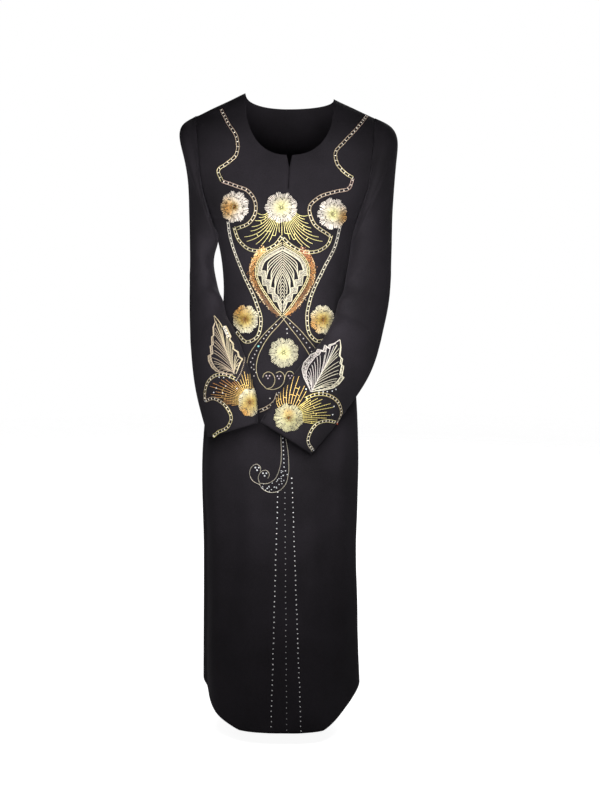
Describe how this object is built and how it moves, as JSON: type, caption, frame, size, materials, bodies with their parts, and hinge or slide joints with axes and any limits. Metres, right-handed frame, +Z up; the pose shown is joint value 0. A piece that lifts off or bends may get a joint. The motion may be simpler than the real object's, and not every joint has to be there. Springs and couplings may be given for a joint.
{
  "type": "kaftan",
  "caption": "Long black crepe kaftan with long sleeves, beaded floral embroidery on chest and cuffs, worn hollow pose.",
  "frame": {"origin": "midway between the two points where the shoulder seams meet the neckline, which rests on the wearer's shoulders", "axes": "+Z up, +X towards the wearer's left, the wearer faces -Y"},
  "size_m": [0.4851, 0.3705, 1.424],
  "materials": {
    "crepe": "matt black polyester crepe",
    "flower_beads": "cream and amber seed beads",
    "leaf_beads": "silver seed beads and sequins"
  },
  "bodies": {
    "root": {"front_panel": "crepe", "back_panel": "crepe", "sleeve_wearers_left": "crepe", "sleeve_wearers_right": "crepe", "flower_chest_wearers_right": "flower_beads", "flower_chest_centre": "flower_beads", "flower_chest_wearers_left": "flower_beads", "flower_waist_wearers_right": "flower_beads", "flower_waist_wearers_left": "flower_beads", "flower_hip_centre": "flower_beads", "flower_cuff_wearers_right": "flower_beads", "flower_cuff_wearers_left": "flower_beads", "leaf_medallion": "leaf_beads", "leaf_cuff_wearers_right": "leaf_beads", "leaf_cuff_wearers_left": "leaf_beads"}
  },
  "joints": []
}
